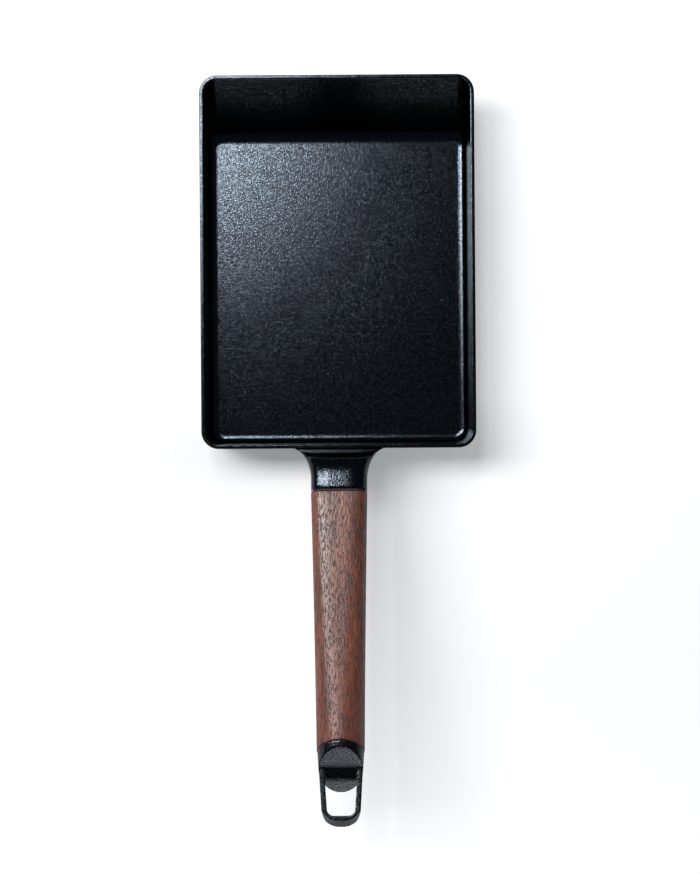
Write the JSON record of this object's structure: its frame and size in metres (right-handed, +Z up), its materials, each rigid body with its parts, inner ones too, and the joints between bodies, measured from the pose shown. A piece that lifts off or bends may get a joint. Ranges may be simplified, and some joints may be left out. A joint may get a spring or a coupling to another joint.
{
  "type": "frying pan",
  "caption": "Rectangular frying pan for rolled omelettes, with a sloped far wall, a rising neck, a tapered wooden grip and a fixed hanging loop at the handle's end.",
  "frame": {"origin": "on the flat base, under the middle of the rim", "axes": "+Z up out of the pan, +Y along the pan away from the handle towards the sloped wall, +X to the right for someone who holds the handle"},
  "size_m": [0.14, 0.3765, 0.0757],
  "materials": {
    "pan_coating": "black textured coating, satin",
    "grip_wood": "dark walnut, oiled, fine lengthwise pores",
    "end_coating": "black textured coating, matt",
    "gasket": "matt black heat washer",
    "steel": "plain bright steel"
  },
  "bodies": {
    "root": {"pan_body": "pan_coating", "neck_gasket": "gasket", "wood_grip": "grip_wood", "end_loop": "end_coating", "tie_rod": "steel", "flat_washer": "steel", "spring_washer": "steel", "clamp_nut": "steel", "loop_pin": "steel"}
  },
  "joints": []
}
